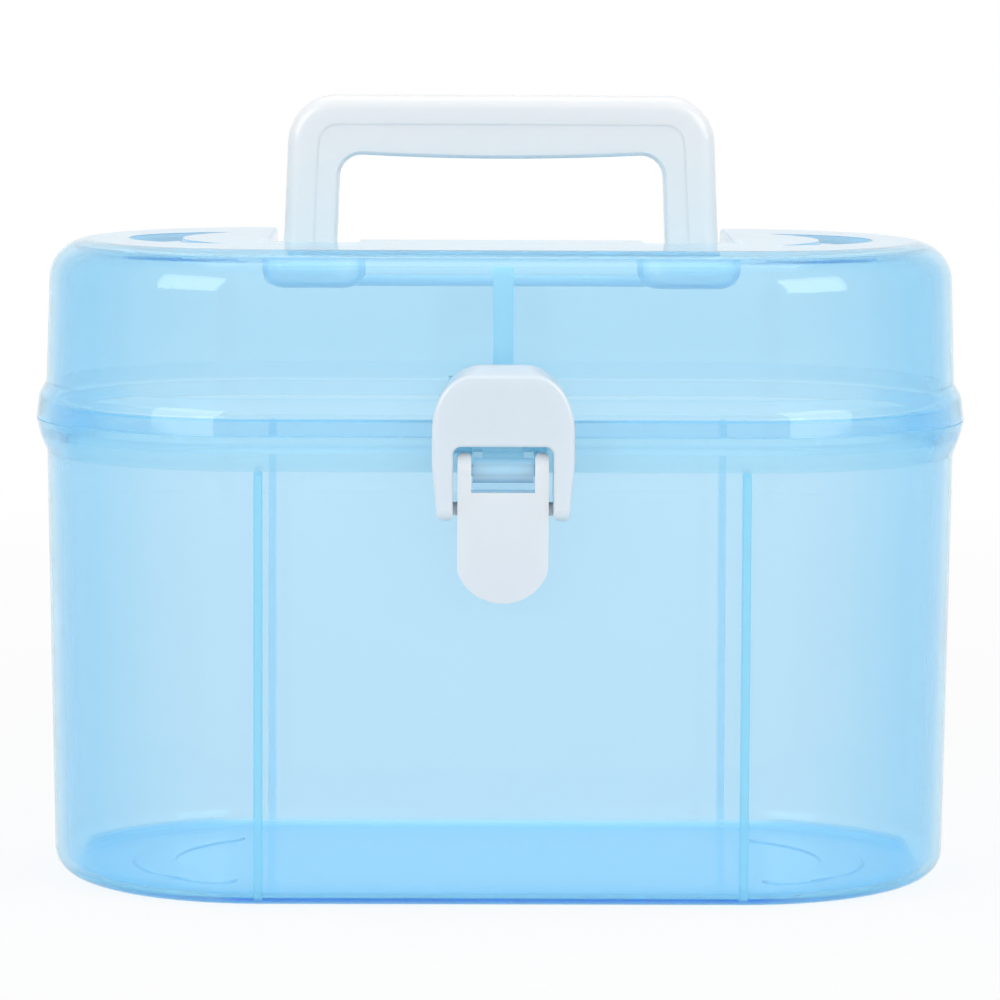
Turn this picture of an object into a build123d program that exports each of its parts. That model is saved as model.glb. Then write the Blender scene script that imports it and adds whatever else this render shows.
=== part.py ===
from build123d import *
import os
from math import radians, tan

# Frame: millimetres, +Z up, the front with the latch looks along -Y. The origin is the plan centre of the
# case on the surface it rests on.

# ---- case and lid, shared plan ----
FRONT_FLAT_HALF = 57.5   # straight front and back, each side of the centre
END_REACH = 53.0         # how far a rounded end goes past the straight part, at the parting plane
HALF_DEPTH = 63.0        # half of the depth over the walls, at the parting plane
WALL = 1.8
FLANGE_OUT = 2.4         # how far case flange and lid skirt stand out of the walls
KNEE_RADIUS = 8.0        # rounding of the knees of flange and skirt

# ---- case body ----
BODY_HEIGHT = 111.5      # resting face to the parting plane
BODY_DRAFT = 1.0         # degrees
FLOOR = 2.0
BOTTOM_RADIUS = 6.5
FLANGE_HEIGHT = 8.2
FLANGE_KNEE_DROP = 4.0   # the flange's knee below the parting plane, and how far out it is
FLANGE_KNEE_OUT = 1.5
LIP_HEIGHT = 4.0         # inner lip that stands up inside the lid's skirt
RIB_X = 57.2             # the four outside ribs
RIB_WIDTH = 2.0
RIB_PROUD = 2.2
RIB_ROUNDING = 0.4
RIB_END_RADIUS = 0.9
RIB_BOTTOM = 1.8
RIB_TOP = 102.8
FOOT_RADIUS = 44.3       # C-shaped recesses in the underside of the floor, along their middle
FOOT_BAND = 9.5
FOOT_CENTRE_X = 40.0
FOOT_HALF_ANGLE = 50.0
FOOT_DEPTH = 0.4
FOOT_SLOPE = 60.0        # degrees, of the recess walls off the vertical

# ---- lid ----
LID_SEAT_GAP = 0.2       # between the flange's ledge and the skirt
LIP_GAP = 0.4            # between the lip and the inside of the skirt
LIP_HEADROOM = 0.7       # between the lip's top and the skirt's inner shoulder
LID_HEIGHT = 43.3        # parting plane to the flat top
LID_DRAFT = 1.8
SKIRT_HEIGHT = 8.7
SKIRT_KNEE_RISE = 5.8    # the skirt's knee above the parting plane, and how far out it is
SKIRT_KNEE_OUT = 1.7
SKIRT_KNEE_RADIUS = 4.0
LID_TOP_RADIUS = 9.8
TOP_CRESCENT_X = 63.6    # crescent recesses in the top: a disc less a larger disc
TOP_CRESCENT_RADIUS = 27.0
TOP_CRESCENT_WAIST = 13.3
TOP_CRESCENT_INNER_RADIUS = 39.0
TOP_CRESCENT_DEPTH = 1.0
TOP_CRESCENT_STEP = 0.5  # the recess walls lean in by this much
LID_RIB_WIDTH = 4.7      # stiffening rib inside the front wall
LID_RIB_PROUD = 1.2
LID_RIB_BOTTOM_RISE = 6.0
LID_RIB_TOP_DROP = 4.0

# ---- handle and its trough ----
HANDLE_HALF_FOOT = 52.9  # half width over the legs at the pivot
HANDLE_TAPER = 1.6       # the top is narrower by this much on each side
HANDLE_HEIGHT = 39.6     # pivot to the top of the grip
LEG_WIDTH = 13.0
LEG_TAPER = 0.7          # the legs are narrower by this much at the top
GRIP_THICKNESS = 14.2    # at its ends
GRIP_BOW = 1.2           # the grip's underside hangs this much lower in the middle
HANDLE_DEPTH = 8.8       # front to back
HANDLE_OUTER_RADIUS = 11.8
HANDLE_INNER_RADIUS = 5.4
HANDLE_RIM_RADIUS = 3.2  # rounding of the outer edges
HANDLE_EDGE_RADIUS = 2.0 # and of the edges round the finger opening
PANEL_INSET = 7.0        # the shallow panel's edge runs this far inside the outer edge
PANEL_DEPTH = 0.3
STUB_RADIUS = 2.6        # pivot stubs moulded on the legs
STUB_PAST_WALL = 0.4
COLLAR_RADIUS = 3.9
PIVOT_CLEARANCE = 0.06   # radial, of every pivot that turns
SIDE_GAP = 0.3           # between faces that slide past each other
TROUGH_HALF_WIDTH = 55.8
TROUGH_DEPTH = 9.4
TROUGH_FRONT_Y = -5.3
TROUGH_CORNER_RADIUS = 1.2
TROUGH_RIM_RADIUS = 0.9
WELL_INNER_X = 34.5
WELL_FRONT_Y = -19.3
WELL_RADIUS = 3.6

# ---- rear hinge ----
HINGE_RADIUS = 3.4
HINGE_PIN_RADIUS = 1.5
HINGE_HOLD = 0.02        # radial, of a pin in the piece that holds it
HINGE_GAP = 0.35         # between a knuckle and the other shell
CASE_KNUCKLE_HALF = 6.2
LID_KNUCKLE_LENGTH = 6.0
CASE_WEB_DROP = 8.5      # where each knuckle's web meets its shell, from the parting plane
LID_WEB_RISE = 5.4
WEB_REACH = 1.1          # how far behind the hinge axis a web touches its knuckle
WEB_TOUCH = 3.2          # and how far above or below it

# ---- latch ----
LEVER_PIVOT_DROP = 7.0   # lever pivot below the parting plane
EAR_RADIUS = 4.3
EAR_GAP = 0.6            # between the ears and the flange
BARREL_RADIUS = 2.9
BARREL_WEB_BELOW = 1.2   # the barrel's web, from the pivot down and up
BARREL_WEB_ABOVE = 1.8
GUSSET_THICKNESS = 2.3
GUSSET_RISE = 0.6        # the gussets rise this much towards the flange
LATCH_PIN_RADIUS = 1.3
LEVER_HALF_WIDTH = 10.6
EAR_WIDTH = 3.2
EAR_ROUNDING = 1.4
EAR_SLOT_DROP = 4.9      # lever pivot to the top edge of the tongue between the ears
TONGUE_LENGTH = 31.3     # lever pivot to the tip
TONGUE_TIP_HEIGHT = 8.1  # height of the rounded tip
TONGUE_TIP_THICKNESS = 2.8
TONGUE_TIP_STANDOFF = 4.2
TONGUE_BELLY = 3.1       # how far the tongue's front stands before the pivot halfway down
POCKET_ABOVE_TIP = 9.7   # where the hollow behind the tongue ends
LEVER_SKIN = 2.1
BAIL_PIVOT_DROP = 8.9    # bail pivot below the lever pivot
BAIL_PIVOT_FORWARD = 0.2
BAIL_FOOT_RADIUS = 2.8
BAIL_FOOT_ROUNDING = 1.7
BAIL_STUB_RADIUS = 1.6
BAIL_HALF_WIDTH = 16.6
BAIL_HALF_FOOT = 15.3
BAIL_SHOULDER_DROP = 5.7 # below the parting plane, where the legs start to narrow
BAIL_HEAD_TOP = 17.5     # above the parting plane
BAIL_HEAD_CORNER = (11.6, 16.0)    # width and height of the head's rounded corners at the back
BAIL_FACE_CORNER = (9.0, 12.5)     # the same on the front face
BAIL_BEVEL_DROP = 2.4
BAIL_BEVEL_RUN = 4.6
BAIL_WINDOW_HALF = 11.65
BAIL_WINDOW_TOP = -1.2   # above the parting plane
BAIL_WINDOW_RADIUS = 1.9
BAIL_DEPTH = 8.8
BAIL_SKIN = 2.2
BAIL_ROUNDING = 0.9
BAIL_CAVITY_CORNER = 7.0
TOE_SHARE = 0.29         # 1 - cos 45 degrees: where the middle of a quarter round lies
CATCH_HALF_WIDTH = 9.0
CATCH_BOTTOM = 3.4       # above the parting plane
CATCH_HEIGHT = 5.0
CATCH_LEAD = 2.0         # height of the catch's slanted underside
HOOK_GAP = 0.4           # the lid's catch passes the hook by this, see the report
HOOK_HEIGHT = 2.0

# ---- places that follow from the sizes above ----
LID_BOTTOM_Z = BODY_HEIGHT + LID_SEAT_GAP
LID_TOP_Z = BODY_HEIGHT + LID_HEIGHT
SKIRT_TOP_Z = BODY_HEIGHT + SKIRT_HEIGHT
SKIRT_SHOULDER_Z = BODY_HEIGHT + LIP_HEIGHT + LIP_HEADROOM
TROUGH_FLOOR_Z = LID_TOP_Z - TROUGH_DEPTH
HANDLE_PIVOT_Z = TROUGH_FLOOR_Z + SIDE_GAP + HANDLE_DEPTH / 2
HANDLE_TOP_Z = HANDLE_PIVOT_Z + HANDLE_HEIGHT
HANDLE_FOOT_Z = HANDLE_PIVOT_Z - HANDLE_DEPTH / 2
HANDLE_FOOT_X = HANDLE_HALF_FOOT + HANDLE_TAPER * HANDLE_DEPTH / 2 / HANDLE_HEIGHT
FLANGE_FACE = HALF_DEPTH + FLANGE_OUT
HINGE_Y = FLANGE_FACE + HINGE_GAP + HINGE_RADIUS
HINGE_Z = BODY_HEIGHT
LEVER_PIVOT_Y = -(FLANGE_FACE + EAR_GAP + EAR_RADIUS)
LEVER_PIVOT_Z = BODY_HEIGHT - LEVER_PIVOT_DROP
BAIL_PIVOT_Y = LEVER_PIVOT_Y - BAIL_PIVOT_FORWARD
BAIL_PIVOT_Z = LEVER_PIVOT_Z - BAIL_PIVOT_DROP
BAIL_BACK_Y = -(FLANGE_FACE + EAR_GAP + SIDE_GAP)
BAIL_FRONT_Y = BAIL_BACK_Y - BAIL_DEPTH
SIDE_VIEW = Plane.YZ     # its local x is +Y and its local y is +Z
FRONT_VIEW = Plane.XZ    # its local x is +X and its local y is +Z, looking from the front
NEAR = 0.01              # two places closer than this are the same


def outline(z, offset):
    """Plan of case and lid at height z: straight front and back with a half ellipse at each end."""
    reach = END_REACH + offset
    depth = HALF_DEPTH + offset
    right = EllipticalCenterArc((FRONT_FLAT_HALF, 0), reach, depth, start_angle=-90, arc_size=180)
    left = EllipticalCenterArc((-FRONT_FLAT_HALF, 0), reach, depth, start_angle=90, arc_size=180)
    front = Line((-FRONT_FLAT_HALF, -depth), (FRONT_FLAT_HALF, -depth))
    back = Line((FRONT_FLAT_HALF, depth), (-FRONT_FLAT_HALF, depth))
    return Pos(0, 0, z) * make_face([front, right, back, left])


def stack(levels):
    """Solid through the plan at each (height, offset) level."""
    return loft([outline(z, offset) for z, offset in levels], ruled=True)


def body_offset(z):
    """Offset of the case's wall at height z, from the draft."""
    return -(BODY_HEIGHT - z) * tan(radians(BODY_DRAFT))


def lid_offset(z):
    """Offset of the lid's wall at height z, from the draft."""
    return -(z - SKIRT_TOP_Z) * tan(radians(LID_DRAFT))


def block(x, y, z):
    """Box between the given (low, high) limits along each axis."""
    size = (x[1] - x[0], y[1] - y[0], z[1] - z[0])
    return Pos((x[0] + x[1]) / 2, (y[0] + y[1]) / 2, (z[0] + z[1]) / 2) * Box(*size)


def rod(radius, x_low, x_high, y, z):
    """Cylinder along X."""
    turned = Rot(0, 90, 0) * Cylinder(radius, x_high - x_low)
    return Pos((x_low + x_high) / 2, y, z) * turned


def both_sides(shape):
    """The shape and its mirror image across the plane X = 0."""
    return shape + mirror(shape, about=Plane.YZ)


def side_prism(points, x_low, x_high):
    """Prism along X over a closed outline of (y, z) points."""
    face = make_face(Polyline(*points, close=True))
    return Pos(x_low, 0, 0) * extrude(SIDE_VIEW * face, x_high - x_low)


def level_rounded(solid, z, radius):
    """The solid with every level edge at height z rounded."""
    level = [edge for edge in solid.edges()
             if abs(edge.center().Z - z) < NEAR and edge.bounding_box().size.Z < NEAR]
    return fillet(level, radius)


# ------------------------------------------------------------------ case body
def foot_recess(grow, z_low, sink):
    """C-shaped band parallel to a rounded end, widened by grow, with sloping walls."""
    line = CenterArc((0, 0), FOOT_RADIUS, -FOOT_HALF_ANGLE, 2 * FOOT_HALF_ANGLE)
    band = SlotArc(line, FOOT_BAND + 2 * grow)
    return Pos(FOOT_CENTRE_X, 0, z_low) * extrude(band, sink, taper=FOOT_SLOPE)


def body_shell():
    """Tub with its flange, its lip and the recesses pressed up into the floor."""
    root_z = BODY_HEIGHT - FLANGE_HEIGHT
    knee_z = BODY_HEIGHT - FLANGE_KNEE_DROP
    outer = stack([
        (0, body_offset(0)),
        (root_z, body_offset(root_z)),
        (knee_z, FLANGE_KNEE_OUT),
        (BODY_HEIGHT, FLANGE_OUT)])
    outer = level_rounded(outer, 0, BOTTOM_RADIUS)
    outer = level_rounded(outer, knee_z, KNEE_RADIUS)
    lip_top = BODY_HEIGHT + LIP_HEIGHT
    lip = stack([(BODY_HEIGHT - WALL, 0), (lip_top, 0)])
    cavity = stack([
        (FLOOR, body_offset(FLOOR) - WALL),
        (root_z, body_offset(root_z) - WALL),
        (knee_z, FLANGE_KNEE_OUT - WALL),
        (BODY_HEIGHT - WALL, -WALL),
        (lip_top, -WALL)])
    cavity = level_rounded(cavity, FLOOR, BOTTOM_RADIUS - WALL)
    cavity -= both_sides(foot_recess(WALL / 2, FLOOR, FOOT_DEPTH))
    shell = outer + lip - cavity
    return shell - both_sides(foot_recess(0, 0, FOOT_DEPTH))


def wall_profile(out):
    """Side view of the space behind the front wall's face moved outward by out, its bottom edge rounded."""
    low = -(HALF_DEPTH + body_offset(0) + out)
    high = -(HALF_DEPTH + body_offset(RIB_TOP) + out)
    face = make_face(Polyline((0, 0), (low, 0), (high, RIB_TOP), (0, RIB_TOP), close=True))
    corner = [vertex for vertex in face.vertices() if vertex.Y < NEAR and vertex.X < -NEAR]
    return SIDE_VIEW * fillet(corner, BOTTOM_RADIUS)


def body_ribs():
    """Four upright beads on the outside, following the wall and the rounded bottom edge."""
    bead = extrude(wall_profile(RIB_PROUD), RIB_WIDTH / 2, both=True)
    crest = [edge for edge in bead.edges()
             if edge.center().Y < BOTTOM_RADIUS - HALF_DEPTH and edge.bounding_box().size.Z > NEAR]
    bead = fillet(crest, RIB_ROUNDING)
    bead -= extrude(wall_profile(-WALL / 2), RIB_WIDTH, both=True)
    zone = block((-RIB_WIDTH / 2, RIB_WIDTH / 2), (-FLANGE_FACE, 0), (RIB_BOTTOM, RIB_TOP))
    ends = [edge for edge in zone.edges()
            if abs(edge.center().Z - RIB_TOP) < NEAR and edge.bounding_box().size.X < NEAR]
    bead &= fillet(ends, RIB_END_RADIUS)
    right = Pos(RIB_X, 0, 0) * bead
    front = right + mirror(right, about=Plane.YZ)
    return front + mirror(front, about=Plane.XZ)


def latch_barrel():
    """Barrel in front of the flange that carries the lever's pin, with its web and two gussets."""
    half = LEVER_HALF_WIDTH - EAR_WIDTH - SIDE_GAP
    barrel = rod(BARREL_RADIUS, -half, half, LEVER_PIVOT_Y, LEVER_PIVOT_Z)
    root_y = -(HALF_DEPTH - WALL / 2)
    web_z = (LEVER_PIVOT_Z - BARREL_WEB_BELOW, LEVER_PIVOT_Z + BARREL_WEB_ABOVE)
    web = block((-half, half), (LEVER_PIVOT_Y, root_y), web_z)
    gusset = side_prism([
        (root_y, LEVER_PIVOT_Z),
        (LEVER_PIVOT_Y, LEVER_PIVOT_Z),
        (LEVER_PIVOT_Y, LEVER_PIVOT_Z + EAR_RADIUS),
        (root_y, LEVER_PIVOT_Z + EAR_RADIUS + GUSSET_RISE)], half - GUSSET_THICKNESS, half)
    hole = rod(LATCH_PIN_RADIUS + HINGE_HOLD, -2 * half, 2 * half, LEVER_PIVOT_Y, LEVER_PIVOT_Z)
    return barrel + web + both_sides(gusset) - hole


def knuckle(x_low, x_high, side, root_z, hole_radius):
    """Rear hinge knuckle whose web goes up to the lid (side 1) or down to the case (side -1)."""
    barrel = rod(HINGE_RADIUS, x_low, x_high, HINGE_Y, HINGE_Z)
    root_y = HALF_DEPTH + WALL / 2
    near = HINGE_Z + side * LID_SEAT_GAP
    web = side_prism([
        (root_y, near),
        (HINGE_Y, near),
        (HINGE_Y + WEB_REACH, HINGE_Z + side * WEB_TOUCH),
        (root_y, root_z)], x_low, x_high)
    hole = rod(hole_radius, x_low - HINGE_RADIUS, x_high + HINGE_RADIUS, HINGE_Y, HINGE_Z)
    return barrel + web - hole


def make_case_body():
    hinge = knuckle(-CASE_KNUCKLE_HALF, CASE_KNUCKLE_HALF, -1, BODY_HEIGHT - CASE_WEB_DROP,
                    HINGE_PIN_RADIUS + HINGE_HOLD)
    return body_shell() + body_ribs() + latch_barrel() + hinge


# ------------------------------------------------------------------ lid
def rounded_pocket(x, y, z, radius):
    """Block with its bottom edges and its upright front edges rounded."""
    pocket = block(x, y, z)
    sides = [edge for edge in pocket.edges()
             if edge.center().Z < z[1] - NEAR and edge.center().Y < y[1] - NEAR]
    return fillet(sides, radius)


def trough(grow):
    """Space for the folded handle, open at the back, with a well in front of each leg."""
    depth = (TROUGH_FLOOR_Z - grow, LID_TOP_Z + HANDLE_DEPTH)
    half = TROUGH_HALF_WIDTH + grow
    main = rounded_pocket((-half, half), (TROUGH_FRONT_Y - grow, 2 * HALF_DEPTH), depth,
                          TROUGH_CORNER_RADIUS + grow)
    well = rounded_pocket((WELL_INNER_X - grow, half), (WELL_FRONT_Y - grow, HALF_DEPTH / 2), depth,
                          WELL_RADIUS + grow)
    return main + both_sides(well)


def crescent(grow, z):
    """Crescent on the right half of the lid at height z, widened by grow."""
    inner_x = TOP_CRESCENT_X + TOP_CRESCENT_RADIUS - TOP_CRESCENT_WAIST - TOP_CRESCENT_INNER_RADIUS
    moon = Pos(TOP_CRESCENT_X, 0) * Circle(TOP_CRESCENT_RADIUS + grow)
    moon -= Pos(inner_x, 0) * Circle(TOP_CRESCENT_INNER_RADIUS - grow)
    return Pos(0, 0, z) * moon


def top_crescent(grow, z_low, z_high):
    """Recess between two heights whose walls lean in towards the bottom."""
    return loft([crescent(grow - TOP_CRESCENT_STEP, z_low), crescent(grow, z_high)], ruled=True)


def lid_cavity():
    """Inside of the lid: skirt recess for the lip, then the drafted walls and the rounded top."""
    ceiling = LID_TOP_Z - WALL
    walls = [
        (LID_BOTTOM_Z, LIP_GAP),
        (SKIRT_SHOULDER_Z, LIP_GAP),
        (SKIRT_TOP_Z, -WALL),
        (ceiling, lid_offset(ceiling) - WALL)]
    room = level_rounded(stack(walls), ceiling, LID_TOP_RADIUS - WALL)
    inset = WALL + LID_RIB_PROUD
    rib_core = stack([(SKIRT_TOP_Z, -inset), (ceiling, lid_offset(ceiling) - inset)])
    rib_low = SKIRT_TOP_Z + LID_RIB_BOTTOM_RISE
    rib_high = LID_TOP_Z - LID_RIB_TOP_DROP
    rib_zone = block((-LID_RIB_WIDTH / 2, LID_RIB_WIDTH / 2), (-HALF_DEPTH, 0), (rib_low, rib_high))
    room -= rib_zone - rib_core
    room -= trough(WALL)
    return room - both_sides(top_crescent(WALL, ceiling - TOP_CRESCENT_DEPTH, LID_TOP_Z))


def lid_catch():
    """Ledge on the front of the skirt that the bail's hook sits over."""
    front_y = BAIL_BACK_Y + HOOK_GAP
    low = BODY_HEIGHT + CATCH_BOTTOM
    high = low + CATCH_HEIGHT
    skirt_y = -(HALF_DEPTH + LIP_GAP)
    wall_y = -(HALF_DEPTH - WALL / 2)
    return side_prism([
        (skirt_y, low),
        (front_y, low + CATCH_LEAD),
        (front_y, high),
        (wall_y, high),
        (wall_y, high - WALL),
        (skirt_y, SKIRT_SHOULDER_Z)], -CATCH_HALF_WIDTH, CATCH_HALF_WIDTH)


def make_lid():
    knee_z = BODY_HEIGHT + SKIRT_KNEE_RISE
    outer = stack([
        (LID_BOTTOM_Z, FLANGE_OUT),
        (knee_z, SKIRT_KNEE_OUT),
        (SKIRT_TOP_Z, 0),
        (LID_TOP_Z, lid_offset(LID_TOP_Z))])
    outer = level_rounded(outer, LID_TOP_Z, LID_TOP_RADIUS)
    outer = level_rounded(outer, knee_z, SKIRT_KNEE_RADIUS)
    top = outer - trough(0)
    rim = [edge for edge in top.edges()
           if abs(edge.center().Z - LID_TOP_Z) < NEAR and abs(edge.center().X) < TROUGH_HALF_WIDTH + NEAR
           and edge.center().Y > WELL_FRONT_Y - NEAR]
    top = fillet(rim, TROUGH_RIM_RADIUS)
    shell = top - lid_cavity()
    shell -= both_sides(top_crescent(0, LID_TOP_Z - TOP_CRESCENT_DEPTH, LID_TOP_Z + NEAR))
    low = CASE_KNUCKLE_HALF + SIDE_GAP
    hinge = knuckle(low, low + LID_KNUCKLE_LENGTH, 1, BODY_HEIGHT + LID_WEB_RISE,
                    HINGE_PIN_RADIUS + PIVOT_CLEARANCE)
    socket_reach = TROUGH_HALF_WIDTH + 2 * WALL
    socket = rod(STUB_RADIUS + PIVOT_CLEARANCE, -socket_reach, socket_reach, 0, HANDLE_PIVOT_Z)
    return shell + both_sides(hinge) + lid_catch() - socket


# ------------------------------------------------------------------ handle
def handle_arch(inset, corner):
    """Front view of the handle's outer outline moved in by inset, with its upper corners rounded."""
    half_top = HANDLE_HALF_FOOT - HANDLE_TAPER - inset
    half_foot = HANDLE_FOOT_X - inset
    top_z = HANDLE_TOP_Z - inset
    face = make_face(Polyline(
        (-half_foot, HANDLE_FOOT_Z),
        (-half_top, top_z),
        (half_top, top_z),
        (half_foot, HANDLE_FOOT_Z),
        close=True))
    return fillet(face.vertices().group_by(Axis.Y)[-1], corner)


def make_handle():
    foot_z = HANDLE_FOOT_Z
    inner_foot = HANDLE_FOOT_X - LEG_WIDTH
    inner_top = HANDLE_HALF_FOOT - HANDLE_TAPER - LEG_WIDTH + LEG_TAPER
    under = HANDLE_TOP_Z - GRIP_THICKNESS
    grip = ThreePointArc((-inner_top, under), (0, under - GRIP_BOW), (inner_top, under))
    legs = Polyline((inner_top, under), (inner_foot, foot_z), (-inner_foot, foot_z), (-inner_top, under))
    gap = make_face([grip, legs])
    gap = fillet(gap.vertices().group_by(Axis.Y)[-1], HANDLE_INNER_RADIUS)
    solid = extrude(FRONT_VIEW * (handle_arch(0, HANDLE_OUTER_RADIUS) - gap), HANDLE_DEPTH / 2, both=True)

    level = [edge for edge in solid.edges()
             if edge.bounding_box().size.Y < NEAR and edge.center().Z > foot_z + NEAR]
    opening = [edge for edge in level
               if abs(edge.center().X) < inner_foot + NEAR and edge.center().Z < under + GRIP_BOW]
    solid = fillet([edge for edge in level if edge not in opening], HANDLE_RIM_RADIUS)
    inside = [edge for edge in solid.edges()
              if abs(edge.center().Y) > HANDLE_DEPTH / 2 - NEAR and edge.bounding_box().size.Y < NEAR
              and abs(edge.center().X) < inner_foot + NEAR and edge.center().Z < under + GRIP_BOW
              and edge.center().Z > foot_z + NEAR]
    solid = fillet(inside, HANDLE_EDGE_RADIUS)
    panel = extrude(FRONT_VIEW * handle_arch(PANEL_INSET, HANDLE_OUTER_RADIUS - PANEL_INSET), HANDLE_DEPTH,
                    both=True)
    core = block((-HANDLE_HALF_FOOT, HANDLE_HALF_FOOT),
                 (PANEL_DEPTH - HANDLE_DEPTH / 2, HANDLE_DEPTH / 2 - PANEL_DEPTH), (foot_z, HANDLE_TOP_Z))
    solid -= panel - core

    wide = 2 * HANDLE_FOOT_X
    above = block((-wide, wide), (-HANDLE_DEPTH, HANDLE_DEPTH), (HANDLE_PIVOT_Z, 2 * HANDLE_TOP_Z))
    solid &= above + rod(HANDLE_DEPTH / 2, -wide, wide, 0, HANDLE_PIVOT_Z)
    in_leg = HANDLE_HALF_FOOT - LEG_WIDTH / 2
    stub = rod(STUB_RADIUS, in_leg, TROUGH_HALF_WIDTH + WALL + STUB_PAST_WALL, 0, HANDLE_PIVOT_Z)
    collar = rod(COLLAR_RADIUS, in_leg, TROUGH_HALF_WIDTH - SIDE_GAP, 0, HANDLE_PIVOT_Z)
    return solid + both_sides(stub + collar)


# ------------------------------------------------------------------ latch
def lever_side(shift):
    """Side view of the lever: round ears about the pivot and a tongue with a convex front."""
    tip_z = LEVER_PIVOT_Z - TONGUE_LENGTH
    tip_back = -(HALF_DEPTH + body_offset(tip_z) + TONGUE_TIP_STANDOFF)
    tip_front = tip_back - TONGUE_TIP_THICKNESS
    front = ThreePointArc(
        (LEVER_PIVOT_Y - EAR_RADIUS, LEVER_PIVOT_Z),
        (LEVER_PIVOT_Y - TONGUE_BELLY, LEVER_PIVOT_Z - TONGUE_LENGTH / 2),
        (tip_front, tip_z))
    rest = Polyline(
        (tip_front, tip_z),
        (tip_back, tip_z),
        (LEVER_PIVOT_Y + EAR_RADIUS, LEVER_PIVOT_Z),
        (LEVER_PIVOT_Y - EAR_RADIUS, LEVER_PIVOT_Z))
    face = make_face([front, rest]) + Pos(LEVER_PIVOT_Y, LEVER_PIVOT_Z) * Circle(EAR_RADIUS)
    return SIDE_VIEW * (Pos(shift, 0) * face)


def make_latch_lever():
    tip_z = LEVER_PIVOT_Z - TONGUE_LENGTH
    tip_top = tip_z + TONGUE_TIP_HEIGHT
    half = LEVER_HALF_WIDTH
    ear_z = LEVER_PIVOT_Z + EAR_RADIUS
    slot_half = half - EAR_WIDTH
    slot_z = LEVER_PIVOT_Z - EAR_SLOT_DROP
    round_tip = ThreePointArc((-half, tip_top), (0, tip_z), (half, tip_top))
    sides = Polyline(
        (half, tip_top),
        (half, ear_z),
        (slot_half, ear_z),
        (slot_half, slot_z),
        (-slot_half, slot_z),
        (-slot_half, ear_z),
        (-half, ear_z),
        (-half, tip_top))
    front = make_face([round_tip, sides])
    front = fillet(front.vertices().group_by(Axis.Y)[-1], EAR_ROUNDING)
    lever = extrude(lever_side(0), half, both=True) & extrude(FRONT_VIEW * front, 2 * HALF_DEPTH)
    pocket_half = half - LEVER_SKIN
    pocket = extrude(lever_side(LEVER_SKIN), pocket_half, both=True)
    pocket &= block((-half, half), (-2 * HALF_DEPTH, 0), (tip_z + POCKET_ABOVE_TIP, slot_z - LEVER_SKIN))
    lever -= pocket
    pin_reach = 2 * half
    lever -= rod(LATCH_PIN_RADIUS + PIVOT_CLEARANCE, -pin_reach, pin_reach, LEVER_PIVOT_Y, LEVER_PIVOT_Z)
    bail_hole = rod(BAIL_STUB_RADIUS + PIVOT_CLEARANCE, pocket_half - SIDE_GAP, pin_reach,
                    BAIL_PIVOT_Y, BAIL_PIVOT_Z)
    return lever - both_sides(bail_hole)


def bail_outline(drop, corner):
    """Front view of the horseshoe, head lowered by drop, with (width, height) of its rounded corners."""
    foot_z = BAIL_PIVOT_Z - BAIL_FOOT_RADIUS
    shoulder_z = BODY_HEIGHT - BAIL_SHOULDER_DROP
    head_z = BODY_HEIGHT + BAIL_HEAD_TOP - drop
    wide, tall = corner
    bend_x = BAIL_HALF_WIDTH - wide
    bend_z = head_z - tall
    right = EllipticalCenterArc((bend_x, bend_z), wide, tall, start_angle=0, arc_size=90)
    left = EllipticalCenterArc((-bend_x, bend_z), wide, tall, start_angle=90, arc_size=90)
    top = Line((bend_x, head_z), (-bend_x, head_z))
    rest = Polyline(
        (-BAIL_HALF_WIDTH, bend_z),
        (-BAIL_HALF_WIDTH, shoulder_z),
        (-BAIL_HALF_FOOT, foot_z),
        (BAIL_HALF_FOOT, foot_z),
        (BAIL_HALF_WIDTH, shoulder_z),
        (BAIL_HALF_WIDTH, bend_z))
    return make_face([right, top, left, rest])


def bail_window():
    """Front view of the opening between the legs, its upper corners rounded."""
    low = BAIL_PIVOT_Z - 2 * BAIL_FOOT_RADIUS
    high = BODY_HEIGHT + BAIL_WINDOW_TOP
    half = BAIL_WINDOW_HALF
    window = make_face(Polyline((-half, low), (-half, high), (half, high), (half, low), close=True))
    return fillet(window.vertices().group_by(Axis.Y)[-1], BAIL_WINDOW_RADIUS)


def horseshoe():
    """Solid horseshoe of even depth: its head slopes back at the top and its front edges are rounded."""
    foot_z = BAIL_PIVOT_Z - BAIL_FOOT_RADIUS
    face = Pos(0, BAIL_FRONT_Y, 0) * (FRONT_VIEW * bail_outline(BAIL_BEVEL_DROP, BAIL_FACE_CORNER))
    crest = Pos(0, BAIL_FRONT_Y + BAIL_BEVEL_RUN, 0) * (FRONT_VIEW * bail_outline(0, BAIL_HEAD_CORNER))
    back = Pos(0, BAIL_BACK_Y, 0) * (FRONT_VIEW * bail_outline(0, BAIL_HEAD_CORNER))
    solid = loft([face, crest, back], ruled=True)
    solid -= extrude(FRONT_VIEW * bail_window(), 2 * HALF_DEPTH)
    feet = [edge for edge in solid.edges()
            if abs(edge.center().Z - foot_z) < NEAR and edge.bounding_box().size.X < NEAR]
    solid = fillet(feet, BAIL_FOOT_ROUNDING)
    rim = [edge for edge in solid.edges()
           if abs(edge.center().Y - BAIL_FRONT_Y) < NEAR and edge.bounding_box().size.Y < NEAR]
    return fillet(rim, BAIL_ROUNDING)


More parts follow.
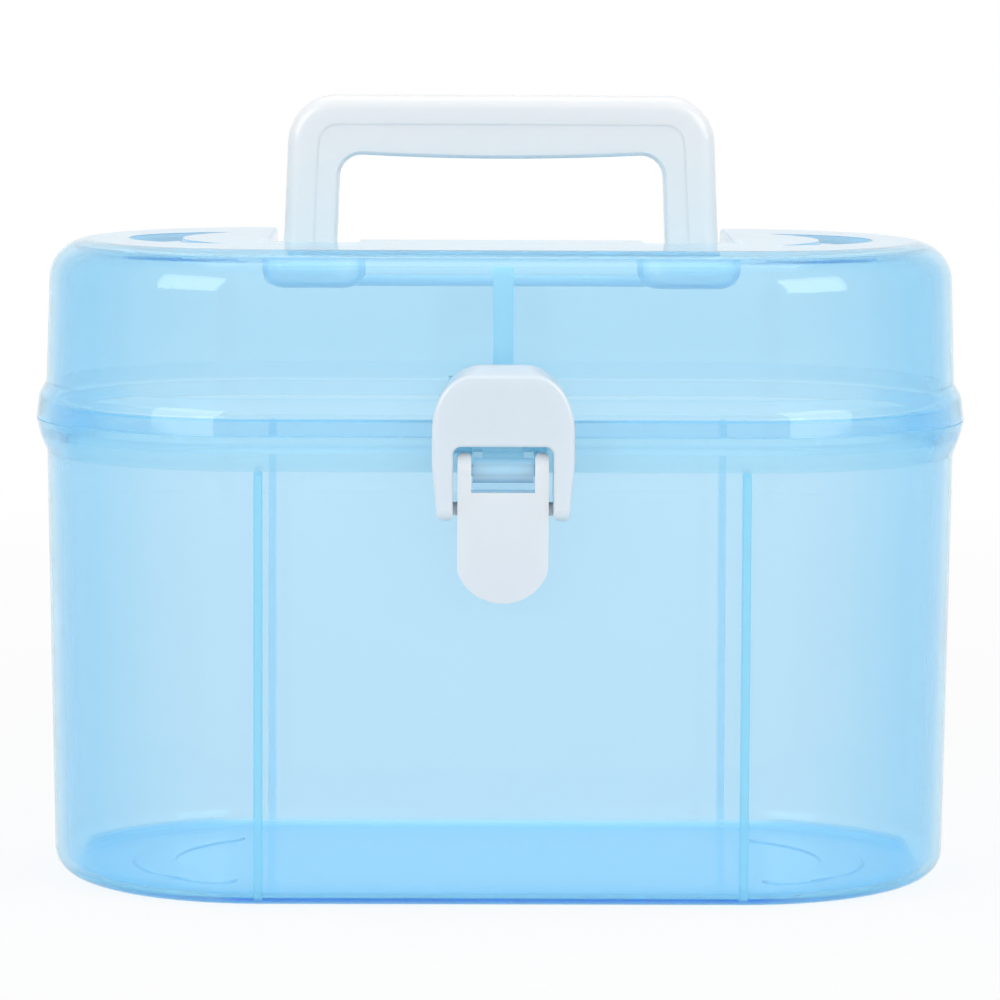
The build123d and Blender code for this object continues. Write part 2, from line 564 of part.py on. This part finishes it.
def make_latch_bail():
    head_z = BODY_HEIGHT + BAIL_HEAD_TOP
    window_z = BODY_HEIGHT + BAIL_WINDOW_TOP
    foot_z = BAIL_PIVOT_Z - BAIL_FOOT_RADIUS
    toe = ThreePointArc(
        (BAIL_FRONT_Y, BAIL_PIVOT_Z),
        (BAIL_FRONT_Y + (BAIL_PIVOT_Y - BAIL_FRONT_Y) * TOE_SHARE, foot_z + BAIL_FOOT_RADIUS * TOE_SHARE),
        (BAIL_PIVOT_Y, foot_z))
    heel = ThreePointArc(
        (BAIL_PIVOT_Y, foot_z),
        (BAIL_PIVOT_Y + BAIL_FOOT_RADIUS * (1 - TOE_SHARE), foot_z + BAIL_FOOT_RADIUS * TOE_SHARE),
        (BAIL_PIVOT_Y + BAIL_FOOT_RADIUS, BAIL_PIVOT_Z))
    rest = Polyline(
        (BAIL_PIVOT_Y + BAIL_FOOT_RADIUS, BAIL_PIVOT_Z),
        (BAIL_BACK_Y, window_z),
        (BAIL_BACK_Y, head_z),
        (BAIL_FRONT_Y, head_z),
        (BAIL_FRONT_Y, BAIL_PIVOT_Z))
    solid = horseshoe() & extrude(SIDE_VIEW * make_face([toe, heel, rest]), BAIL_HALF_WIDTH, both=True)
    cavity_front = BAIL_FRONT_Y + BAIL_SKIN
    half = BAIL_HALF_WIDTH - BAIL_SKIN
    low = window_z + BAIL_SKIN
    high = head_z - BAIL_BEVEL_DROP - BAIL_SKIN
    cavity = make_face(Polyline((-half, low), (-half, high), (half, high), (half, low), close=True))
    cavity = fillet(cavity.vertices().group_by(Axis.Y)[-1], BAIL_CAVITY_CORNER)
    solid -= extrude(Pos(0, cavity_front, 0) * (FRONT_VIEW * cavity), -BAIL_DEPTH)
    hook_z = BODY_HEIGHT + CATCH_BOTTOM + CATCH_HEIGHT + SIDE_GAP
    solid += block((-CATCH_HALF_WIDTH, CATCH_HALF_WIDTH), (cavity_front - BAIL_SKIN / 2, BAIL_BACK_Y),
                   (hook_z, hook_z + HOOK_HEIGHT))
    stub = rod(BAIL_STUB_RADIUS, LEVER_HALF_WIDTH - LEVER_SKIN + SIDE_GAP, BAIL_WINDOW_HALF + BAIL_SKIN,
               BAIL_PIVOT_Y, BAIL_PIVOT_Z)
    return solid + both_sides(stub)


# ------------------------------------------------------------------ pins
def make_latch_pin():
    half = LEVER_HALF_WIDTH - SIDE_GAP
    return rod(LATCH_PIN_RADIUS, -half, half, LEVER_PIVOT_Y, LEVER_PIVOT_Z)


def make_hinge_pin():
    half = CASE_KNUCKLE_HALF + LID_KNUCKLE_LENGTH
    return rod(HINGE_PIN_RADIUS, -half, half, HINGE_Y, HINGE_Z)


PIECES = {
    "case_body": make_case_body,
    "lid": make_lid,
    "handle": make_handle,
    "latch_lever": make_latch_lever,
    "latch_bail": make_latch_bail,
    "latch_pin": make_latch_pin,
    "hinge_pin": make_hinge_pin,
}

os.makedirs("parts", exist_ok=True)
for name, make in PIECES.items():
    export_step(make(), f"parts/{name}.step")
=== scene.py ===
"""Makeup storage case: clear blue moulded case and lid, white handle and white latch, on a white table."""
import bpy
from math import log, radians
from mathutils import Matrix, Vector

# clear blue plastic; colours are shares of red, green and blue light, from 0 to 1
WALL_PAIR = 0.0036        # metres of plastic that the eye looks through at the front and back wall together
CLEAR_THROUGH_PAIR = (0.86, 0.962, 0.995)   # light left behind both walls by the absorption inside them
CLEAR_SKIN_CASE = (0.757, 0.889, 0.966)     # light that the skin of each wall lets through, seen square on
CLEAR_SKIN_LID = (0.70, 0.87, 0.960)
CLEAR_SKIN_EDGE = (0.80, 0.935, 0.99)       # what is left of that for a wall that curves away from the eye
CLEAR_SHADOW = (0.83, 0.935, 0.975)         # lamp light that passes each surface
CLEAR_BEND = 1.15         # refraction of the thin plastic
HAZE = 0.06               # share of light that the cloudy plastic scatters, seen square on
HAZE_SLANT = 0.50         # the same where the eye looks along the wall, through more plastic
GLOSS = 0.9               # share of its clear gloss that the skin shows square on, for crisp highlights
GLOSS_SLANT = 0.08        # the same at a slant, so that the outline stays blue
THICK_AND_SHADE = (0.53, 0.865, 0.955)                # colour that the thickest places add, which at the case's floor and front flange also paints shade
CASE_CLOUDS = 22.0        # cloud pattern of the moulding, in cells per metre
LID_CLOUDS = 26.0

# white plastic: colour of each piece, and the painted light that the handle's colour turns into towards its
# foot in the blue trough: bluer and lighter, for the blue light from the trough around it
WHITE_HANDLE = (0.83, 0.845, 0.86)
WHITE_HANDLE_FOOT_GLOW = (0.87, 0.925, 0.945)
WHITE_BAIL = (0.68, 0.76, 0.83)
WHITE_LEVER = (0.73, 0.79, 0.85)
WHITE_PIN = (0.72, 0.77, 0.80)

# studio
TABLE_BELOW = 0.0002      # metres between the table and the case's underside
TABLE_COLOUR = (0.92, 0.92, 0.92)
PLAIN_NEAR = 0.84         # share of plain white in the table by the case, where its shadow still shows
PLAIN_FAR = 1.0           # and far from it
NEAR_REACH = 0.25         # metres from the centre where the table starts and ends turning plain white
FAR_REACH = 1.0
PLAIN_THROUGH = 0.05      # the same share where the table is seen through the plastic
ROOM_LIGHT = 0.55
SIDE_LAMP = 7.0           # watts
TOP_LAMP = 4.5
LAMP_AIM = (0, 0, 0.10)   # middle of the case

# places of the moulding, left and right alike: centre, half size and width of the fading edge in metres,
# how much deeper or paler its colour is there, from -1 to 1, and the share of light that it scatters there
CASE_PLACES = {
    "front_ribs": ((0.0572, -0.064, 0.0515), (0.0010, 0.0085, 0.0518), (0.0001, 0.0001, 0.0001), 1.0, 0.40),
    "rear_ribs": ((0.0572, 0.064, 0.0515), (0.0007, 0.0085, 0.0518), (0.0001, 0.0001, 0.0001), 0.5, 0.25),
    # floor: deeper partly for the thicker floor plate seen at a slant, partly painted shade of the table
    # under the case seen through it
    "floor": ((0.0, 0.0, 0.0), (0.102, 0.0575, 0.0030), (0.002, 0.002, 0.001), 0.82, 0.45),
    # front flange: deeper partly for the inner lip behind it, partly painted shade on its downward-facing
    # face
    "front_flange": ((0.0, -0.040, 0.1075), (0.10, 0.040, 0.0040), (0.012, 0.012, 0.0004), 0.45, 0.22),
    "rear_rim": ((0.0, 0.060, 0.1082), (0.090, 0.030, 0.0042), (0.020, 0.020, 0.001), -0.50, 0.06),
    "rear_lip": ((0.0, 0.060, 0.1135), (0.092, 0.035, 0.0025), (0.020, 0.020, 0.001), -0.75, 0.06),
    "rim_ends": ((0.118, 0.0, 0.1065), (0.012, 0.030, 0.0030), (0.012, 0.025, 0.0015), 0.15, 0.48),
    "barrel": ((0.0, -0.0703, 0.1045), (0.0075, 0.0040, 0.0050), (0.0005, 0.0005, 0.0005), -0.10, 0.42),
    "lip_edge": ((0.0, -0.030, 0.1154), (0.10, 0.050, 0.0004), (0.01, 0.01, 0.0002), 0.9, 0.40),
}
LID_PLACES = {
    "front_rib": ((0.0, -0.060, 0.1399), (0.00235, 0.008, 0.0111), (0.0001, 0.0001, 0.0001), 0.75, 0.35),
    "wells": ((0.0462, -0.009, 0.1482), (0.0120, 0.0120, 0.0053), (0.001, 0.001, 0.0005), -0.50, 0.45),
    "trough_floor": ((0.0, -0.006, 0.1440), (0.057, 0.009, 0.0028), (0.001, 0.012, 0.0005), -0.50, 0.72),
    "crescent_walls": ((0.078, 0.0, 0.1542), (0.027, 0.060, 0.0004), (0.001, 0.001, 0.0002), 0.0, 0.60),
    "rear_skirt": ((0.0, 0.060, 0.1128), (0.092, 0.035, 0.0020), (0.020, 0.020, 0.0015), -0.75, 0.06),
}


# ---------------------------------------------------------------- small helpers
def new_material(name):
    """Empty node material with its output node."""
    material = bpy.data.materials.new(name)
    material.use_nodes = True
    tree = material.node_tree
    tree.nodes.clear()
    return material, tree, tree.nodes.new("ShaderNodeOutputMaterial")


def node(tree, kind, **settings):
    """Node of a kind with its properties set."""
    made = tree.nodes.new(kind)
    for key, value in settings.items():
        setattr(made, key, value)
    return made


def noise(tree, scale, detail, place):
    """Cloud pattern in the object's own metres."""
    pattern = node(tree, "ShaderNodeTexNoise")
    pattern.inputs["Scale"].default_value = scale
    pattern.inputs["Detail"].default_value = detail
    tree.links.new(place, pattern.inputs["Vector"])
    return pattern.outputs["Fac"]


def spread(tree, value, low, high, to_low, to_high):
    """Value between low and high carried over to a new range."""
    ramp = node(tree, "ShaderNodeMapRange")
    for socket, number in zip(("From Min", "From Max", "To Min", "To Max"), (low, high, to_low, to_high)):
        ramp.inputs[socket].default_value = number
    tree.links.new(value, ramp.inputs["Value"])
    return ramp.outputs["Result"]


def bumps(tree, height, strength, depth, below=None):
    """Surface relief of a height pattern, on top of another relief."""
    relief = node(tree, "ShaderNodeBump")
    relief.inputs["Strength"].default_value = strength
    relief.inputs["Distance"].default_value = depth
    tree.links.new(height, relief.inputs["Height"])
    if below is not None:
        tree.links.new(below, relief.inputs["Normal"])
    return relief.outputs["Normal"]


def arithmetic(tree, operation, first, second):
    """One arithmetic step on an output and a number or another output."""
    step = node(tree, "ShaderNodeMath", operation=operation)
    tree.links.new(first, step.inputs[0])
    if isinstance(second, float):
        step.inputs[1].default_value = second
    else:
        tree.links.new(second, step.inputs[1])
    return step.outputs[0]


def unsigned(tree, value):
    """Value without its sign."""
    step = node(tree, "ShaderNodeMath", operation="ABSOLUTE")
    tree.links.new(value, step.inputs[0])
    return step.outputs[0]


def largest(tree, outputs):
    """Largest of several outputs."""
    top = outputs[0]
    for other in outputs[1:]:
        top = arithmetic(tree, "MAXIMUM", top, other)
    return top


def blend(tree, share, start, end, **settings):
    """Colour that goes from start to end with the share; start is a fixed colour or an output."""
    mixed = node(tree, "ShaderNodeMix", data_type="RGBA", **settings)
    if isinstance(start, tuple):
        mixed.inputs["A"].default_value = (*start, 1)
    else:
        tree.links.new(start, mixed.inputs["A"])
    mixed.inputs["B"].default_value = (*end, 1)
    tree.links.new(share, mixed.inputs["Factor"])
    return mixed.outputs["Result"]


def either(tree, share, first, second):
    """Shader that goes from the first to the second with the share."""
    mixed = node(tree, "ShaderNodeMixShader")
    tree.links.new(share, mixed.inputs[0])
    tree.links.new(first.outputs[0], mixed.inputs[1])
    tree.links.new(second.outputs[0], mixed.inputs[2])
    return mixed.outputs[0]


# ---------------------------------------------------------------- materials
def place_of(tree, parts, centre, half, fade):
    """One inside a box of the object, left and right alike, fading to nothing outside it."""
    inside = None
    along = (unsigned(tree, parts.outputs["X"]), parts.outputs["Y"], parts.outputs["Z"])
    for value, middle, reach, edge in zip(along, centre, half, fade):
        away = unsigned(tree, arithmetic(tree, "SUBTRACT", value, middle))
        near = spread(tree, away, reach, reach + edge, 1.0, 0.0)
        inside = near if inside is None else arithmetic(tree, "MULTIPLY", near, inside)
    return inside


def strongest(tree, places, shares):
    """Largest share that any place gives, of those above zero."""
    return largest(tree, [arithmetic(tree, "MULTIPLY", inside, share)
                          for inside, share in zip(places, shares) if share > 0])


def clear_blue(name, cloud_scale, skin, moulding):
    """Clear blue moulded plastic: it absorbs red over its thickness, more where it slants or is thick, and
    is deeper at some places, which at the case's floor and front flange is partly painted shade.
    """
    material, tree, out = new_material(name)
    place = node(tree, "ShaderNodeTexCoord").outputs["Object"]
    clouds = noise(tree, cloud_scale, 3.0, place)
    ripple = noise(tree, 240.0, 2.0, place)
    grain = noise(tree, 2600.0, 1.0, place)
    parts = node(tree, "ShaderNodeSeparateXYZ")
    tree.links.new(place, parts.inputs[0])
    places = [place_of(tree, parts, *row[:3]) for row in moulding.values()]
    depths = [row[3] for row in moulding.values()]
    scatters = [row[4] for row in moulding.values()]

    plastic = node(tree, "ShaderNodeBsdfPrincipled")
    plastic.inputs["IOR"].default_value = CLEAR_BEND
    plastic.inputs["Coat Roughness"].default_value = 0.05
    plastic.inputs["Coat IOR"].default_value = 1.5
    slant = node(tree, "ShaderNodeLayerWeight")
    slant.inputs["Blend"].default_value = 0.5
    facing = slant.outputs["Facing"]
    haze = largest(tree, [spread(tree, facing, 0.45, 0.88, HAZE, HAZE_SLANT),
                          strongest(tree, places, scatters)])
    tree.links.new(spread(tree, haze, 0.0, 1.0, 1.0, 0.0), plastic.inputs["Transmission Weight"])
    tree.links.new(spread(tree, facing, 0.2, 0.6, GLOSS, GLOSS_SLANT), plastic.inputs["Coat Weight"])

    # colour: the skin, deeper at a slant, then the places' deeper and paler shares; at the case's floor and
    # front flange the deeper share is partly painted shade
    edge = tuple(part * left for part, left in zip(skin, CLEAR_SKIN_EDGE))
    slanted = spread(tree, facing, 0.05, 0.65, 0.0, 0.94)
    cloudy = spread(tree, clouds, 0.3, 0.7, 0.0, 0.06)
    colour = blend(tree, arithmetic(tree, "ADD", slanted, cloudy), skin, edge)
    colour = blend(tree, strongest(tree, places, depths), colour, THICK_AND_SHADE, blend_type="MULTIPLY")
    colour = blend(tree, strongest(tree, places, [-depth for depth in depths]), colour, (1, 1, 1))
    tree.links.new(colour, plastic.inputs["Base Color"])

    tree.links.new(spread(tree, clouds, 0.3, 0.7, 0.015, 0.045), plastic.inputs["Roughness"])
    relief = bumps(tree, ripple, 0.04, 0.0003)
    relief = bumps(tree, grain, 0.04, 0.00003, relief)
    tree.links.new(relief, plastic.inputs["Normal"])

    lamp_light = node(tree, "ShaderNodeBsdfTransparent")
    lamp_light.inputs["Color"].default_value = (*CLEAR_SHADOW, 1)
    shadow_ray = node(tree, "ShaderNodeLightPath").outputs["Is Shadow Ray"]
    tree.links.new(either(tree, shadow_ray, plastic, lamp_light), out.inputs["Surface"])

    loss = [-log(share) / WALL_PAIR for share in CLEAR_THROUGH_PAIR]
    inside = node(tree, "ShaderNodeVolumeAbsorption")
    inside.inputs["Color"].default_value = (*[1 - part / max(loss) for part in loss], 1)
    inside.inputs["Density"].default_value = max(loss)
    tree.links.new(inside.outputs[0], out.inputs["Volume"])
    return material


def satin_white(name, colour, foot_glow_colour, foot_z, top_z):
    """White moulded plastic: satin skin, faint grain, and colour turning towards the foot colour below,
    which paints the blue light that a foot in the blue trough catches.
    """
    material, tree, out = new_material(name)
    place = node(tree, "ShaderNodeTexCoord").outputs["Object"]
    clouds = noise(tree, 30.0, 2.0, place)
    ripple = noise(tree, 140.0, 2.0, place)
    grain = noise(tree, 3500.0, 2.0, place)
    parts = node(tree, "ShaderNodeSeparateXYZ")
    tree.links.new(place, parts.inputs[0])
    plastic = node(tree, "ShaderNodeBsdfPrincipled")
    plastic.inputs["IOR"].default_value = 1.48
    plastic.inputs["Subsurface Weight"].default_value = 0.55
    plastic.inputs["Subsurface Radius"].default_value = (1.0, 1.1, 1.25)
    plastic.inputs["Subsurface Scale"].default_value = 0.0035
    plastic.inputs["Coat Weight"].default_value = 0.6
    plastic.inputs["Coat Roughness"].default_value = 0.10
    # painted light: the colour runs from the foot colour at foot_z to the piece's own colour at top_z
    height = spread(tree, parts.outputs["Z"], foot_z, top_z, 0.03, 0.97)
    uneven = spread(tree, clouds, 0.3, 0.7, -0.03, 0.03)
    tint = blend(tree, arithmetic(tree, "ADD", height, uneven), foot_glow_colour, colour)
    tree.links.new(tint, plastic.inputs["Base Color"])
    tree.links.new(spread(tree, ripple, 0.2, 0.8, 0.29, 0.35), plastic.inputs["Roughness"])
    relief = bumps(tree, ripple, 0.03, 0.0003)
    relief = bumps(tree, grain, 0.05, 0.00005, relief)
    tree.links.new(relief, plastic.inputs["Normal"])
    tree.links.new(plastic.outputs[0], out.inputs["Surface"])
    return material


def white_table():
    """White table that keeps the case's soft shadow near it and turns plain white further away."""
    material, tree, out = new_material("white_table")
    light = node(tree, "ShaderNodeLightPath")
    distance = node(tree, "ShaderNodeVectorMath", operation="LENGTH")
    tree.links.new(node(tree, "ShaderNodeTexCoord").outputs["Object"], distance.inputs[0])
    far = spread(tree, distance.outputs["Value"], NEAR_REACH, FAR_REACH, PLAIN_NEAR, PLAIN_FAR)
    seen = largest(tree, [light.outputs["Is Camera Ray"], light.outputs["Is Glossy Ray"]])
    plain = arithmetic(tree, "MULTIPLY", seen, far)
    through = arithmetic(tree, "MULTIPLY", light.outputs["Is Transmission Ray"], PLAIN_THROUGH)
    matt = node(tree, "ShaderNodeBsdfDiffuse")
    matt.inputs["Color"].default_value = (*TABLE_COLOUR, 1)
    glow = node(tree, "ShaderNodeEmission")
    tree.links.new(either(tree, largest(tree, [plain, through]), matt, glow), out.inputs["Surface"])
    return material


# ---------------------------------------------------------------- studio
def table():
    """Large flat sheet just under the case."""
    mesh = bpy.data.meshes.new("table")
    mesh.from_pydata([(x, y, -TABLE_BELOW) for x, y in ((-20, -20), (20, -20), (20, 40), (-20, 40))],
                     [], [(0, 1, 2, 3)])
    mesh.materials.append(white_table())
    sheet = bpy.data.objects.new("table", mesh)
    bpy.context.scene.collection.objects.link(sheet)


def white_room(strength):
    """Even white surroundings: plain white where seen or reflected, softer as a light."""
    world = bpy.data.worlds.new("white_room")
    bpy.context.scene.world = world
    world.use_nodes = True
    tree = world.node_tree
    tree.nodes.clear()
    light = node(tree, "ShaderNodeLightPath")
    soft, plain = (node(tree, "ShaderNodeBackground") for _ in range(2))
    for room, level in ((soft, strength), (plain, 1.0)):
        room.inputs["Color"].default_value = (1, 1, 1, 1)
        room.inputs["Strength"].default_value = level
    seen = largest(tree, [light.outputs[key] for key in
                          ("Is Camera Ray", "Is Glossy Ray", "Is Transmission Ray")])
    out = node(tree, "ShaderNodeOutputWorld")
    tree.links.new(either(tree, seen, soft, plain), out.inputs["Surface"])


def softbox(name, place, aim, width, height, watts):
    """Rectangular studio lamp aimed at a point."""
    lamp = bpy.data.lights.new(name, "AREA")
    lamp.shape = "RECTANGLE"
    lamp.size = width
    lamp.size_y = height
    lamp.energy = watts
    holder = bpy.data.objects.new(name, lamp)
    bpy.context.scene.collection.objects.link(holder)
    holder.location = place
    holder.rotation_euler = (Vector(aim) - Vector(place)).to_track_quat("-Z", "Y").to_euler()


def camera():
    """Long lens in front of the case, a little above it and slightly to the left."""
    lens = bpy.data.cameras.new("camera")
    lens.sensor_width = 36
    lens.lens = 216
    lens.clip_end = 200
    eye = bpy.data.objects.new("camera", lens)
    bpy.context.scene.collection.objects.link(eye)
    eye.location = (-0.0145, -1.4594, 0.2298)
    turn = Matrix.Rotation(radians(-0.57), 4, "Z")
    tilt = Matrix.Rotation(radians(90 - 5.436), 4, "X")
    lean = Matrix.Rotation(radians(0.24), 4, "Z")
    eye.rotation_euler = (turn @ tilt @ lean).to_euler()
    bpy.context.scene.camera = eye


# ---------------------------------------------------------------- scene
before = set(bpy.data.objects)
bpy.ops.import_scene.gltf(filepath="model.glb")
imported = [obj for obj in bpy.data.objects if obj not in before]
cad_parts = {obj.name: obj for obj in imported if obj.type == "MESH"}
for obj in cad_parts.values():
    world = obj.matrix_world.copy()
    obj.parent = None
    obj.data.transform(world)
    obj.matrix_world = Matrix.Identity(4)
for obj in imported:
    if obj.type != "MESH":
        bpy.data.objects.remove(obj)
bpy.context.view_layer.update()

looks = {
    "case_body": clear_blue("clear_blue_case", CASE_CLOUDS, CLEAR_SKIN_CASE, CASE_PLACES),
    "lid": clear_blue("clear_blue_lid", LID_CLOUDS, CLEAR_SKIN_LID, LID_PLACES),
    "handle": satin_white("satin_white_handle", WHITE_HANDLE, WHITE_HANDLE_FOOT_GLOW, 0.150, 0.185),
    "latch_bail": satin_white("satin_white_bail", WHITE_BAIL, WHITE_BAIL, 0.09, 0.13),
    "latch_lever": satin_white("satin_white_lever", WHITE_LEVER, WHITE_LEVER, 0.07, 0.11),
    "hinge_pin": satin_white("satin_white_pin", WHITE_PIN, WHITE_PIN, 0.105, 0.115),
}
looks["latch_pin"] = looks["case_body"]
for name, look in looks.items():
    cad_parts[name].material_slots[0].material = look

table()
white_room(ROOM_LIGHT)
softbox("softbox_left", (-1.05, -1.0, 0.72), LAMP_AIM, 1.05, 0.88, SIDE_LAMP)
softbox("softbox_right", (1.05, -1.0, 0.72), LAMP_AIM, 1.05, 0.88, SIDE_LAMP)
softbox("softbox_top", (0, 0.1, 1.5), LAMP_AIM, 1.2, 0.9, TOP_LAMP)
camera()

scene = bpy.context.scene
scene.view_settings.view_transform = "Standard"
scene.cycles.transparent_max_bounces = 40
scene.cycles.max_bounces = 64
scene.cycles.transmission_bounces = 64
scene.cycles.glossy_bounces = 40
scene.cycles.diffuse_bounces = 4
